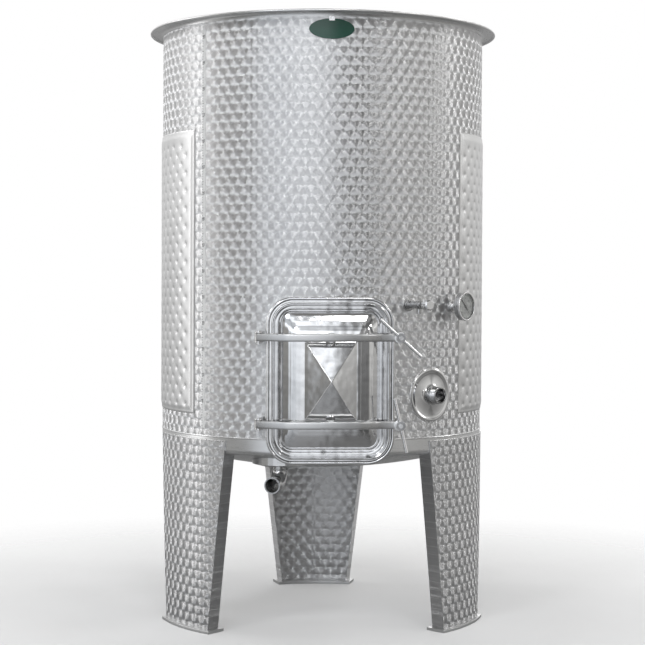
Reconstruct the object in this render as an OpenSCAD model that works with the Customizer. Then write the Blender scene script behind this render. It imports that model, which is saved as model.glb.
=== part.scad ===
// Open-topped stainless fermenting vat on three legs, with a jacket, a doorway and fittings.
// Millimetres, +Z up. The origin is on the tank's axis at floor level, and the doorway faces -Y.

/* [Tank] */
// Outer diameter of the tank wall
tank_d = 1000; // [980:5:1020]
// Height of the marbled wall above the bottom seam
wall_h = 1211; // [1150:1:1300]
// Thickness of the tank wall
wall_t = 2; // [1.5:0.5:3]
// Height of the bottom seam above the floor
seam_z = 586; // [560:1:620]

/* [Rim] */
// How far the rim stands out from the wall
rim_out = 40; // [30:1:50]
// Radius of the bend between the wall and the rim
rim_bend = 10; // [6:1:14]
// Diameter of the rolled bead at the rim's edge
rim_bead = 7; // [5:1:9]

/* [Bottom] */
// Height of the plain band between the seam and the knuckle
band_h = 38; // [30:1:44]
// Radius of the knuckle below the band
knuckle_r = 16; // [12:1:20]
// Radius of the dished bottom
dish_r = 1700; // [1500:10:1800]
// Lowest height of the dished bottom above the floor
dish_z = 463; // [460:1:470]

/* [Legs] */
// Thickness of the leg sheet
leg_t = 3; // [2:0.5:4]
// Half angle that a leg covers at its top
leg_top_half = 22; // [20:0.5:24]
// Half angle that a leg covers at its foot
leg_foot_half = 14.4; // [14:0.1:18]
// Depth of the folded flanges of a leg
leg_flange = 44; // [35:1:50]
// Drop from the bottom seam to the top of a leg
leg_drop = 14; // [10:1:18]
// Thickness of a foot plate
foot_t = 9; // [6:1:12]
// How far a foot plate stands out round the leg
foot_over = 10; // [6:1:14]

/* [Cooling jacket] */
// Angle of the jacket's left edge from the front
jacket_from = 51.5; // [50:0.5:56]
// Angle of the jacket's right edge from the front
jacket_to = 52.2; // [50:0.2:56]
// Height of the jacket's lower edge above the seam
jacket_low = 60; // [50:1:80]
// Height of the jacket's upper edge above the seam
jacket_high = 902; // [850:1:1000]
// Depth of the jacket from the tank wall to its outer face
jacket_d = 5; // [4:0.5:6]

/* [Doorway] */
// Clear width of the doorway
door_w = 310; // [300:1:315]
// Clear height of the doorway
door_h = 420; // [410:1:425]
// Width of the frame
frame_w = 367; // [363:1:371]
// Height of the frame
frame_h = 478; // [474:1:482]
// Height of the doorway's middle above the bottom seam
door_up = 171; // [170:1:186]
// Distance from the tank's axis to the front of the frame's ring
ring_y = 534; // [530:1:538]
// Half of the distance between the two bars
bar_half = 124; // [121:0.5:127]
// Height of a bar
bar_h = 22; // [20:1:24]

/* [Fittings] */
// Outer diameter of the drain and racking threads
outlet_d = 47.8; // [47:0.1:48.5]
// Inner diameter of the drain and racking outlets
outlet_bore = 40.6; // [38:0.1:42]
// Outer diameter of the jacket nipples
nipple_d = 26.4; // [26:0.1:27]
// Outer diameter of the thermometer case
gauge_d = 86; // [80:1:90]

/* [Hidden] */

// Facets of small, middle and large circles
fn_small = 48;
fn_mid = 96;
fn_large = 192;
// Gap between pieces that only lie next to each other
lie = 0.2;
// Radial clearance of a pin or shaft that turns in its hole
run = 0.05;
// Overlap of cutting shapes past the face that they cut
cut = 1;

tank_r = tank_d / 2;
wall_z = seam_z + wall_h;
door_z = seam_z + door_up;

// Angles of the fittings from the front, positive to the right, and their heights above the seam
drain_a = -19.3;
scale_a = -46.9;
badge_a = 0.15;
badge_z = seam_z + 1175;
sample_a = 27.4;
sample_z = seam_z + 388;
racking_a = 37.4;
racking_z = seam_z + 122;
gauge_a = 48.3;
gauge_z = seam_z + 382;
nipple_a = 152;
leg_angles = [-58.5, 58.5, 180];

steel = [0.78, 0.79, 0.79];
bright = [0.88, 0.89, 0.90];
satin = [0.72, 0.73, 0.73];
rubber = [0.16, 0.16, 0.17];

// Points its child's +Z outwards at an angle from the front and a height, with local Z = radius
module outward(angle, height) {
    rotate([0, 0, angle]) translate([0, 0, height]) rotate([90, 0, 0]) children();
}

// A straight tube along Z
module tube(outer_r, inner_r, length, fn = fn_mid) {
    difference() {
        cylinder(r = outer_r, h = length, $fn = fn);
        translate([0, 0, -cut]) cylinder(r = inner_r, h = length + 2 * cut, $fn = fn);
    }
}

// A flat rectangle with round corners, from plain circles and squares
module round_rect(w, h, r) {
    square([w - 2 * r, h], center = true);
    square([w, h - 2 * r], center = true);
    for (sx = [-1, 1], sy = [-1, 1]) {
        translate([sx * (w / 2 - r), sy * (h / 2 - r)]) circle(r = r, $fn = fn_mid);
    }
}

// A round bead that follows a rectangle with round corners
module bead_rect(w, h, r, bead_r) {
    for (s = [-1, 1]) {
        translate([s * w / 2, -(h / 2 - r), 0]) rotate([-90, 0, 0])
            cylinder(r = bead_r, h = h - 2 * r, $fn = fn_small);
        translate([-(w / 2 - r), s * h / 2, 0]) rotate([0, 90, 0])
            cylinder(r = bead_r, h = w - 2 * r, $fn = fn_small);
    }
    for (q = [[1, 1, 0], [-1, 1, 90], [-1, -1, 180], [1, -1, 270]]) {
        translate([q[0] * (w / 2 - r), q[1] * (h / 2 - r), 0]) rotate([0, 0, q[2]])
            rotate_extrude(angle = 90, $fn = fn_mid) translate([r, 0]) circle(r = bead_r, $fn = fn_small);
    }
}

// Points along an arc, for outlines
function arc(cx, cy, r, a0, a1, n) =
    [for (i = [0:n]) let (a = a0 + (a1 - a0) * i / n) [cx + r * cos(a), cy + r * sin(a)]];

// ---------------------------------------------------------------- tank wall and rim

// Holes of the wall: the doorway, the racking plate and the small fittings
racking_plate_r = 79;
small_hole_r = 13;
neck_t = 3;
neck_corner = 56;

module wall_holes() {
    outward(0, door_z) translate([0, 0, tank_r - 60])
        linear_extrude(120)
            round_rect(door_w + 2 * neck_t + 2 * lie, door_h + 2 * neck_t + 2 * lie, neck_corner + lie);
    outward(racking_a, racking_z) translate([0, 0, tank_r - 40])
        cylinder(r = racking_plate_r + lie, h = 80, $fn = fn_mid);
    outward(sample_a, sample_z) translate([0, 0, tank_r - 40])
        cylinder(r = small_hole_r + lie, h = 80, $fn = fn_mid);
    outward(gauge_a, gauge_z) translate([0, 0, tank_r - 40])
        cylinder(r = small_hole_r + lie, h = 80, $fn = fn_mid);
}

module shell() {
    color(steel) difference() {
        translate([0, 0, seam_z]) tube(tank_r, tank_r - wall_t, wall_h, fn_large);
        wall_holes();
    }
}

rim_top = wall_z + rim_bend + wall_t + 2;
// How far the rolled bead stands above the rim's flat face
bead_proud = 0.6;

module rim() {
    inner_r = tank_r - wall_t;
    bend_x = tank_r + rim_bend;
    bend_z = rim_top - wall_t - rim_bend;
    bead_x = tank_r + rim_out - rim_bead / 2;
    bead_z = rim_top + bead_proud - rim_bead / 2;
    // Angle round the bead at which it meets a flat face of the flange
    meets = function(z) 180 - asin((z - bead_z) / (rim_bead / 2));
    color(satin) rotate_extrude($fn = fn_large) polygon(concat(
        [[inner_r, wall_z]],
        arc(bend_x, bend_z, rim_bend + wall_t, 180, 90, 8),
        arc(bead_x, bead_z, rim_bead / 2, meets(rim_top), meets(rim_top - wall_t) - 360, 14),
        arc(bend_x, bend_z, rim_bend, 90, 180, 8),
        [[tank_r, wall_z]]
    ));
}

// ---------------------------------------------------------------- dished bottom and drain

band_z = seam_z - band_h;
dish_t = 2.5;
// Where the knuckle's arc ends and the dish's arc begins
knuckle_end = 62;
knuckle_foot = [
    tank_r - knuckle_r + knuckle_r * cos(knuckle_end),
    band_z - knuckle_r * sin(knuckle_end)
];

// Height of the dish's outer face at a distance from the axis
function dish_at(r) = dish_z + dish_r - sqrt(dish_r * dish_r - r * r);

// Outline of everything above the bottom's outer face, pulled in by an amount
module above_dish(inset, top_z) {
    dish_edge = tank_r - knuckle_r - 4;
    polygon(concat(
        [[0, top_z], [tank_r - inset, top_z]],
        [[tank_r - inset, band_z]],
        arc(tank_r - knuckle_r, band_z, knuckle_r - inset, 0, -knuckle_end, 8),
        [for (i = [12:-1:0]) let (r = dish_edge * i / 12) [r, dish_at(r) + inset]]
    ));
}

// The outlet funnel of the bottom: wide and shallow at the back, narrow behind the outlet pipe
outlet_y = 427;
sump_low = 493;
sump_front_y = 415;
sump_wide_y = 365;
sump_wide_r = 90;
sump_shift = 10;
sump_t = 2;

module sump_solid(grow) {
    rotate([0, 0, drain_a]) hull() {
        translate([0, -sump_front_y, sump_low]) cylinder(r = outlet_d / 2 + 1 + grow, h = 40, $fn = 32);
        translate([-sump_shift, -sump_wide_y, dish_at(sump_wide_y)])
            cylinder(r = sump_wide_r + grow, h = 30, $fn = 32);
    }
}

// The bore of the outlet pipe, from just under the funnel up through the dish
module outlet_throat() {
    rotate([0, 0, drain_a]) translate([0, -outlet_y, sump_low - cut])
        cylinder(d = outlet_bore, h = 50, $fn = fn_mid);
}

// Half outline of the weld ridge along the seam: how far it stands out, and where, going down
seam_ridge = [[0, 0], [1.5, -0.7], [2, -2.5], [1.5, -4.3], [0, -5]];

module bottom() {
    color(satin) difference() {
        rotate_extrude($fn = fn_large) {
            difference() {
                above_dish(0, seam_z);
                above_dish(dish_t, seam_z + cut);
            }
            polygon([
                [tank_r - 1, seam_z], for (p = seam_ridge) [tank_r + p[0], seam_z + p[1]], [tank_r - 1, seam_z - 5]
            ]);
        }
        sump_solid(-sump_t);
        outlet_throat();
        wall_holes();
    }
}

module drain_sump() {
    color(satin) difference() {
        sump_solid(0);
        sump_solid(-sump_t);
        rotate_extrude($fn = fn_large) above_dish(-lie, seam_z);
        outlet_throat();
    }
}

elbow_end = 496;
elbow_straight = 30;
weld_r = 2.2;

// A ring of weld round a pipe
module weld_ring(pipe_r) {
    rotate_extrude($fn = fn_mid) translate([pipe_r, 0]) circle(r = weld_r, $fn = 24);
}

// Sweeps its flat child through the quarter turn from straight down to straight out
module elbow_bend(y, z, r) {
    translate([0, -y, z]) rotate([90, 0, 90]) mirror([0, 1, 0])
        rotate_extrude(angle = 90, $fn = fn_mid) translate([r, 0]) children();
}

// The upper end of the outlet pipe, whose front stands before the funnel and reaches the dish
module riser(pipe_r) {
    difference() {
        rotate([0, 0, drain_a]) translate([0, -outlet_y, sump_low - cut])
            tube(pipe_r, outlet_bore / 2, 45);
        sump_solid(0);
        rotate_extrude($fn = fn_large) above_dish(-lie, seam_z);
    }
}

module drain_elbow() {
    pipe_r = outlet_d / 2;
    bend_z = sump_low - 4;
    bend_y = elbow_end - elbow_straight;
    bend_r = bend_y - outlet_y;
    color(steel) {
        riser(pipe_r);
        rotate([0, 0, drain_a]) difference() {
            union() {
                translate([0, -outlet_y, bend_z]) cylinder(r = pipe_r, h = sump_low - bend_z, $fn = fn_mid);
                translate([0, -outlet_y, sump_low - weld_r]) weld_ring(pipe_r);
                elbow_bend(bend_y, bend_z, bend_r) circle(r = pipe_r, $fn = fn_mid);
                translate([0, -bend_y, bend_z - bend_r]) rotate([90, 0, 0])
                    cylinder(r = pipe_r, h = elbow_straight, $fn = fn_mid);
            }
            translate([0, -outlet_y, bend_z]) cylinder(d = outlet_bore, h = 20, $fn = fn_mid);
            elbow_bend(bend_y, bend_z, bend_r) circle(d = outlet_bore, $fn = fn_mid);
            translate([0, -bend_y, bend_z - bend_r]) rotate([90, 0, 0])
                cylinder(d = outlet_bore, h = elbow_straight + cut, $fn = fn_mid);
        }
    }
}

// ---------------------------------------------------------------- legs

leg_top = seam_z - leg_drop;
leg_in = tank_r + lie;
leg_out = leg_in + leg_t;
leg_mid_half = (leg_top_half + leg_foot_half) / 2;
leg_lean = atan(leg_out * (sin(leg_top_half - leg_mid_half) + sin(leg_mid_half - leg_foot_half))
    / (leg_top - foot_t));

// A block that starts at one slanting side of a leg; its outer face is the side's outer face
module leg_side(side, width, depth) {
    mirror([side > 0 ? 0 : 1, 0, 0]) rotate([0, 0, leg_mid_half])
        translate([0, -leg_out, (leg_top + foot_t) / 2]) rotate([0, leg_lean, 0])
            translate([width > 0 ? 0 : width, -20, -600]) cube([abs(width), depth + 20, 1200]);
}

module leg(angle) {
    color(steel) rotate([0, 0, angle]) difference() {
        intersection() {
            translate([0, 0, foot_t]) difference() {
                cylinder(r = leg_out, h = leg_top - foot_t, $fn = fn_large);
                translate([0, 0, -cut]) cylinder(r = leg_in - leg_flange, h = leg_top, $fn = fn_large);
            }
            translate([-tank_r / 2, -leg_out - 1, 0]) cube([tank_r, 200, leg_top + 1]);
        }
        leg_side(1, 300, 200);
        leg_side(-1, 300, 200);
        difference() {
            translate([0, 0, -cut]) cylinder(r = leg_in, h = leg_top + 2 * cut, $fn = fn_large);
            leg_side(1, -leg_t, 200);
            leg_side(-1, -leg_t, 200);
        }
        rotate_extrude($fn = fn_large) above_dish(-lie, leg_top + cut);
    }
}

module foot(angle) {
    half = leg_foot_half + atan(foot_over / leg_out) + 0.3;
    r_in = leg_in - leg_flange - foot_over;
    r_out = leg_out + foot_over;
    color(steel) rotate([0, 0, angle - 90]) rotate([0, 0, -half])
        rotate_extrude(angle = 2 * half, $fn = fn_large)
            translate([r_in, 0]) square([r_out - r_in, foot_t]);
}

module left_leg() leg(leg_angles[0]);
module right_leg() leg(leg_angles[1]);
module rear_leg() leg(leg_angles[2]);
module left_foot() foot(leg_angles[0]);
module right_foot() foot(leg_angles[1]);
module rear_foot() foot(leg_angles[2]);

// ---------------------------------------------------------------- cooling jacket, scale and badge

jacket_skin = 1.2;
jacket_edge = 8;
jacket_span = 360 - jacket_from - jacket_to;

// A curved block on the wall that starts at an angle from the front and covers a span
module wall_block(start, span, r0, r1, z0, z1) {
    translate([0, 0, z0]) rotate([0, 0, start - 90]) rotate_extrude(angle = span, $fn = fn_large)
        translate([r0, 0]) square([r1 - r0, z1 - z0]);
}

module cooling_jacket() {
    outer_r = tank_r + jacket_d;
    edge_a = atan(jacket_edge / tank_r);
    color(satin) difference() {
        wall_block(jacket_to, jacket_span, tank_r + lie, outer_r,
            seam_z + jacket_low, seam_z + jacket_high);
        wall_block(jacket_to + edge_a, jacket_span - 2 * edge_a, tank_r - 1, outer_r - jacket_skin,
            seam_z + jacket_low + jacket_edge, seam_z + jacket_high - jacket_edge);
        for (z = nipple_heights) outward(nipple_a, z) translate([0, 0, tank_r - 10])
            cylinder(d = nipple_d + 2 * lie, h = 40, $fn = fn_mid);
    }
}

nipple_heights = [seam_z + jacket_low + 60, seam_z + jacket_high - 60];
nipple_out = 48;
nipple_wall = 2.7;

module nipple(height) {
    color(steel) outward(nipple_a, height) {
        translate([0, 0, tank_r + 1]) tube(nipple_d / 2, nipple_d / 2 - nipple_wall, nipple_out);
        translate([0, 0, tank_r + jacket_d + 0.4]) difference() {
            cylinder(r = nipple_d / 2 + 4, h = 3, $fn = fn_mid);
            translate([0, 0, -cut]) cylinder(r = nipple_d / 2 - 1, h = 3 + 2 * cut, $fn = fn_mid);
        }
    }
}

module jacket_inlet() nipple(nipple_heights[0]);
module jacket_outlet() nipple(nipple_heights[1]);

scale_w = 15;
scale_t = 0.5;

module volume_scale() {
    half = atan(scale_w / 2 / tank_r);
    color([0.86, 0.86, 0.85]) wall_block(scale_a - half, 2 * half, tank_r + 0.1, tank_r + 0.1 + scale_t,
        seam_z + 20, wall_z - 8);
}

badge_w = 130;
badge_h = 58;
badge_t = 1.6;

module badge_plate() {
    color([0.12, 0.30, 0.24]) intersection() {
        translate([0, 0, badge_z - badge_h])
            tube(tank_r + lie + badge_t, tank_r + lie, 2 * badge_h, fn_large);
        outward(badge_a, badge_z) translate([0, 0, tank_r - 30]) linear_extrude(60)
            polygon([for (i = [0:63]) [badge_w / 2 * cos(i * 360 / 64), badge_h / 2 * sin(i * 360 / 64)]]);
    }
}

// A small spring clip over the badge's top edge
module badge_clip() {
    clip_w = 16;
    clip_z = badge_z + badge_h / 2 - 6;
    face_r = tank_r + lie + badge_t;
    color(steel) outward(badge_a, 0) {
        translate([-clip_w / 2, clip_z, face_r + 0.1]) cube([clip_w, 12, 1.4]);
        translate([-clip_w / 2, clip_z + 6.6, tank_r + 0.3]) cube([clip_w, 5.4, badge_t + 1]);
        for (s = [-1, 1]) translate([s * 4, clip_z + 9, face_r + 1])
            cylinder(r = 2.6, h = 3, $fn = fn_small);
    }
}

// ---------------------------------------------------------------- doorway frame, gasket and lid

ring_t = 4;
frame_corner = 78;
frame_bead_r = 5;
gasket_t = 6;
lid_t = 2;
lid_back = ring_y + gasket_t;
lid_w = frame_w - 28;
lid_h = frame_h - 28;
lid_corner = 64;
lid_bead_r = 3.5;
groove_y = 521.5;
crown_h = 36;
crown_y = groove_y + crown_h;
core_w = 144;
core_h = 221;
core_y = 550;
core_sunk = 10;
apex_y = 591.5;

module manway_frame() {
    color(bright) outward(0, door_z) difference() {
        union() {
            translate([0, 0, ring_y - ring_t]) linear_extrude(ring_t)
                round_rect(frame_w - frame_bead_r, frame_h - frame_bead_r, frame_corner);
            translate([0, 0, ring_y])
                bead_rect(frame_w - 2 * frame_bead_r, frame_h - 2 * frame_bead_r,
                    frame_corner - frame_bead_r, frame_bead_r);
            translate([0, 0, tank_r - 70]) linear_extrude(ring_y - ring_t - tank_r + 71)
                round_rect(door_w + 2 * neck_t, door_h + 2 * neck_t, neck_corner);
        }
        translate([0, 0, tank_r - 80]) linear_extrude(200)
            round_rect(door_w, door_h, neck_corner - neck_t);
        rotate([90, 0, 0])
            cylinder(r = tank_r - wall_t - 4, h = 2 * frame_h, center = true, $fn = fn_large);
    }
}

module manway_gasket() {
    color(rubber) outward(0, door_z) translate([0, 0, ring_y + 0.1]) linear_extrude(gasket_t - 0.1)
        difference() {
            round_rect(lid_w, lid_h, lid_corner);
            round_rect(lid_w - 20, lid_h - 20, lid_corner - 10);
        }
}

// A thin slab with the lid's outline, made smaller by an amount on each side
module lid_slab(half_w, half_h, corner, y) {
    translate([0, 0, y]) linear_extrude(0.01) round_rect(2 * half_w, 2 * half_h, corner, $fn = 32);
}

// The groove inside the lid's edge, as a cup with a steep wall
cup_in = 15.5;
cup_run = 7;
cup_corner = 50;
cup_wall = 2.5;

module cup(shift, depth) {
    half_w = lid_w / 2 - cup_in - shift;
    half_h = lid_h / 2 - cup_in - shift;
    hull() {
        lid_slab(half_w, half_h, cup_corner, lid_back + lid_t + (shift > 0 ? 5 : 0));
        lid_slab(half_w - cup_run, half_h - cup_run, cup_corner - cup_run, groove_y + depth);
    }
}

// The crowned plate, steep at the groove and flat at the core, and the low pyramid in its middle
crown_half_w = lid_w / 2 - cup_in - cup_wall - cup_run - 0.5;
crown_half_h = lid_h / 2 - cup_in - cup_wall - cup_run - 0.5;
crown_corner = 42;
crown_rx = (pow(crown_half_w, 2) + pow(crown_h, 2)) / (2 * crown_h);
crown_rz = (pow(crown_half_h, 2) + pow(crown_h, 2)) / (2 * crown_h);

// The core's sides run on into the crown, so its foot is wider by this ratio
core_scale = (apex_y - core_y + core_sunk) / (apex_y - core_y);

module crown(shift, depth, base) {
    intersection() {
        translate([0, 0, groove_y + depth - base]) linear_extrude(crown_h + base)
            round_rect(2 * (crown_half_w - shift), 2 * (crown_half_h - shift), crown_corner);
        translate([0, 0, crown_y + depth - crown_rx]) rotate([90, 0, 0])
            cylinder(r = crown_rx, h = 2 * lid_h, center = true, $fn = fn_large);
        translate([0, 0, crown_y + depth - crown_rz]) rotate([0, 90, 0])
            cylinder(r = crown_rz, h = 2 * lid_w, center = true, $fn = fn_large);
    }
    hull() {
        translate([0, 0, core_y + depth - core_sunk]) linear_extrude(0.1)
            square(core_scale * [core_w, core_h], center = true);
        translate([0, 0, apex_y + depth]) cylinder(r = 1, h = 0.1, $fn = 16);
    }
}

stud_x = 106;
boss_y = 550;
boss_h = 20;
boss_r = 10;

module manway_lid() {
    color(bright) outward(0, door_z) difference() {
        union() {
            difference() {
                union() {
                    cup(0, -lid_t);
                    translate([0, 0, lid_back]) linear_extrude(lid_t) round_rect(lid_w, lid_h, lid_corner);
                }
                cup(cup_wall, 0);
            }
            translate([0, 0, lid_back + lid_bead_r])
                bead_rect(lid_w - 2 * lid_bead_r, lid_h - 2 * lid_bead_r, lid_corner - lid_bead_r, lid_bead_r);
            crown(0, 0, 1);
            for (sx = [-1, 1], sy = [-1, 1]) translate([sx * stud_x, sy * bar_half, boss_y - boss_h])
                cylinder(r = boss_r, h = boss_h, $fn = fn_mid);
        }
        crown(1.5, -lid_t, 3);
    }
}

// ---------------------------------------------------------------- bars, studs and hinges

bar_t = 12;
hinge_x = -204;
hinge_y = -530;
pin_r = 5;
eye_r = 13;
clamp_x = 196;
slot_r = 6.5;
// The bar's middle line in plan: hinge eye, front stretch, clamp end
bar_front = -579;
bar_clamp = -556;
bar_path = [
    [hinge_x - 4, hinge_y - 7], [-128, bar_front], [86, bar_front], [140, bar_clamp], [203, bar_clamp]
];

// Where the two edges of a strip that follows a path meet at one of its inner points
function mitre(path, i, off) = let (
    a = (path[i] - path[i - 1]) / norm(path[i] - path[i - 1]),
    b = (path[i + 1] - path[i]) / norm(path[i + 1] - path[i]),
    n = [-(a[1] + b[1]), a[0] + b[0]]
) path[i] + off * n / (n * [-a[1], a[0]]);

// A strip in plan that follows a path, with mitred corners; ends = [point number, direction]
module strip(path, width) {
    last = len(path) - 1;
    ends = [[0, path[1] - path[0]], [last, path[last] - path[last - 1]]];
    side = function(e, off) path[e[0]] + off * [-e[1][1], e[1][0]] / norm(e[1]);
    polygon(concat(
        [side(ends[0], width / 2)], [for (i = [1:last - 1]) mitre(path, i, width / 2)],
        [side(ends[1], width / 2), side(ends[1], -width / 2)],
        [for (i = [last - 1:-1:1]) mitre(path, i, -width / 2)], [side(ends[0], -width / 2)]
    ));
}

module bar(side) {
    z = door_z + side * bar_half;
    color(bright) difference() {
        union() {
            translate([0, 0, z - bar_h / 2]) linear_extrude(bar_h) strip(bar_path, bar_t);
            translate([hinge_x, hinge_y, z - bar_h / 2]) cylinder(r = eye_r, h = bar_h, $fn = fn_mid);
        }
        translate([hinge_x, hinge_y, z - bar_h]) cylinder(r = pin_r + run, h = 2 * bar_h, $fn = fn_mid);
        translate([clamp_x, bar_clamp + bar_t, z]) rotate([90, 0, 0]) linear_extrude(2 * bar_t) {
            circle(r = slot_r, $fn = fn_mid);
            translate([0, -slot_r]) square([20, 2 * slot_r]);
        }
    }
}

module upper_bar() bar(1);
module lower_bar() bar(-1);

stud_r = 6;
nut_r = 10;
// Outer ends of the left and right studs, inside the bar
stud_ends = [577, 570];
nut_ends = [572, 560];
nut_t = 9;

module studs(side) {
    color(steel) outward(0, door_z + side * bar_half) for (i = [0, 1]) {
        x = (2 * i - 1) * stud_x;
        translate([x, 0, boss_y]) cylinder(r = stud_r, h = stud_ends[i] - boss_y, $fn = fn_mid);
        translate([x, 0, nut_ends[i] - nut_t]) cylinder(r = nut_r, h = nut_t, $fn = 6);
    }
}

module upper_studs() studs(1);
module lower_studs() studs(-1);

ear_t = 4;
ear_gap = 0.5;

// Two ears that reach from the wall to a pin, joined by a plate on the wall
module ears(x, y, half_gap, r, hole_r) {
    difference() {
        union() {
            for (s = [-1, 1]) translate([0, 0, s * (half_gap + ear_t / 2) - ear_t / 2]) {
                translate([x, y, 0]) cylinder(r = r, h = ear_t, $fn = fn_mid);
                translate([x - r, y, 0]) cube([2 * r, 90, ear_t]);
            }
            translate([x - r, y + 35, -half_gap - ear_t]) cube([2 * r, 55, 2 * (half_gap + ear_t)]);
        }
        translate([x, y, -100]) cylinder(r = hole_r, h = 200, $fn = fn_mid);
        translate([0, 0, -100]) cylinder(r = tank_r + lie, h = 200, $fn = fn_large);
    }
}

module hinge_bracket(side) {
    color(steel) translate([0, 0, door_z + side * bar_half])
        ears(hinge_x, hinge_y, bar_h / 2 + ear_gap, 12, pin_r + run);
}

// A pin with a flat head above and a ring groove's clip below
module pin(x, y, z, r, half, head_r) {
    color(bright) translate([x, y, z]) {
        translate([0, 0, -half - 5]) cylinder(r = r, h = 2 * half + 5, $fn = fn_mid);
        translate([0, 0, half]) cylinder(r = head_r, h = 3, $fn = fn_mid);
        translate([0, 0, -half - 3.2]) cylinder(r = head_r - 1, h = 2, $fn = fn_mid);
    }
}

module upper_hinge_bracket() hinge_bracket(1);
module lower_hinge_bracket() hinge_bracket(-1);
hinge_pin_half = bar_h / 2 + ear_gap + ear_t + 0.1;
module upper_hinge_pin() pin(hinge_x, hinge_y, door_z + bar_half, pin_r, hinge_pin_half, 8);
module lower_hinge_pin() pin(hinge_x, hinge_y, door_z - bar_half, pin_r, hinge_pin_half, 8);

// ---------------------------------------------------------------- clamps

lug_y = -500;
lug_r = 11;
lug_pin_r = 4;
bolt_r = 6;
bolt_eye_h = 16;
bolt_end = 598;
washer_r = 16.5;
washer_t = 4;
washer_y = -bar_clamp + bar_t / 2 + 0.3;
hub_r = 13;
hub_y = washer_y + washer_t + 0.3;
hub_l = 28;
rod_r = 5;
rod_reach = 78;
rod_seat = 10;
rod_y = hub_y + 17;
// Stored turn of each T-handle, measured from level
handle_turn = [["upper", -42], ["lower", 102.6]];

module clamp_lug(side) {
    color(steel) translate([0, 0, door_z + side * bar_half])
        ears(clamp_x, lug_y, bolt_eye_h / 2 + ear_gap, lug_r, lug_pin_r + run);
}

module swing_bolt(side) {
    z = door_z + side * bar_half;
    color(bright) difference() {
        union() {
            translate([clamp_x, lug_y, z - bolt_eye_h / 2])
                cylinder(r = lug_r, h = bolt_eye_h, $fn = fn_mid);
            outward(0, z) translate([clamp_x, 0, -lug_y + 5])
                cylinder(r = bolt_r, h = bolt_end + lug_y - 5, $fn = fn_mid);
        }
        translate([clamp_x, lug_y, z - 50]) cylinder(r = lug_pin_r + run, h = 100, $fn = fn_mid);
    }
}

module clamp_washer(side) {
    color(bright) outward(0, door_z + side * bar_half) translate([clamp_x, 0, washer_y])
        tube(washer_r, bolt_r + run, washer_t);
}

module handle_hub(side, turn) {
    color(bright) outward(0, door_z + side * bar_half) translate([clamp_x, 0, 0]) difference() {
        translate([0, 0, hub_y]) tube(hub_r, bolt_r + run, hub_l);
        for (half = [0, 180]) translate([0, 0, rod_y]) rotate([0, 0, turn + half]) rotate([0, 90, 0])
            translate([0, 0, rod_seat - 0.1]) cylinder(r = rod_r + 0.02, h = hub_r, $fn = fn_small);
    }
}

module handle_rods(side, turn) {
    color(bright) outward(0, door_z + side * bar_half) translate([clamp_x, 0, rod_y])
        for (half = [0, 180]) rotate([0, 0, turn + half]) rotate([0, 90, 0])
            translate([0, 0, rod_seat]) cylinder(r = rod_r, h = rod_reach - rod_seat, $fn = fn_small);
}

module upper_clamp_lug() clamp_lug(1);
module lower_clamp_lug() clamp_lug(-1);
lug_pin_half = bolt_eye_h / 2 + ear_gap + ear_t + 0.1;
module upper_lug_pin() pin(clamp_x, lug_y, door_z + bar_half, lug_pin_r, lug_pin_half, 6.5);
module lower_lug_pin() pin(clamp_x, lug_y, door_z - bar_half, lug_pin_r, lug_pin_half, 6.5);
module upper_swing_bolt() swing_bolt(1);
module lower_swing_bolt() swing_bolt(-1);
module upper_washer() clamp_washer(1);
module lower_washer() clamp_washer(-1);
module upper_handle_hub() handle_hub(1, handle_turn[0][1]);
module lower_handle_hub() handle_hub(-1, handle_turn[1][1]);
module upper_handle_rods() handle_rods(1, handle_turn[0][1]);
module lower_handle_rods() handle_rods(-1, handle_turn[1][1]);

// ---------------------------------------------------------------- racking outlet

racking_face = 502;
racking_out = 540;

module racking_plate() {
    color(bright) outward(racking_a, racking_z) difference() {
        translate([0, 0, racking_face - 12]) cylinder(r = racking_plate_r, h = 12, $fn = fn_mid);
        translate([0, 0, racking_face - 13]) cylinder(r = racking_plate_r - 3, h = 10, $fn = fn_mid);
        translate([0, 0, racking_face - 13]) cylinder(d = outlet_d + 0.1, h = 20, $fn = fn_mid);
    }
}

module racking_nozzle() {
    color(bright) outward(racking_a, racking_z) {
        translate([0, 0, racking_face - 14])
            tube(outlet_d / 2, outlet_bore / 2, racking_out - racking_face + 14);
        translate([0, 0, racking_face + 0.1]) tube(28.5, outlet_bore / 2, 5);
    }
}

// ---------------------------------------------------------------- sampling valve

sample_end = 576;
stem_r = 4;
stem_end = 606;
spout_y = 556;
passage_r = 5.5;

module sample_boss() {
    color(steel) outward(sample_a, sample_z) {
        translate([0, 0, tank_r - 8]) tube(small_hole_r, 8, 18);
        difference() {
            translate([0, 0, tank_r + 1.2]) cylinder(r = 18, h = 4, $fn = fn_mid);
            translate([0, 0, tank_r - 10]) cylinder(r = 10, h = 30, $fn = fn_mid);
        }
    }
}

module sample_body() {
    color(bright) outward(sample_a, sample_z) difference() {
        union() {
            translate([0, 0, tank_r + 10.2]) cylinder(r = 15, h = 9, $fn = 6);
            translate([0, 0, tank_r + 15]) cylinder(r = 11, h = sample_end - tank_r - 15, $fn = fn_mid);
            translate([0, 0, sample_end - 22]) cylinder(r = 13, h = 10, $fn = fn_mid);
            translate([0, -25, spout_y]) rotate([-90, 0, 0]) cylinder(r = 7, h = 25, $fn = fn_mid);
        }
        translate([0, 0, tank_r]) cylinder(r = passage_r, h = spout_y - tank_r + 6, $fn = fn_mid);
        translate([0, 0, spout_y]) cylinder(r = stem_r + run, h = 40, $fn = fn_mid);
        translate([0, -30, spout_y]) rotate([-90, 0, 0]) cylinder(r = 4.2, h = 30, $fn = fn_mid);
    }
}

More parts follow.
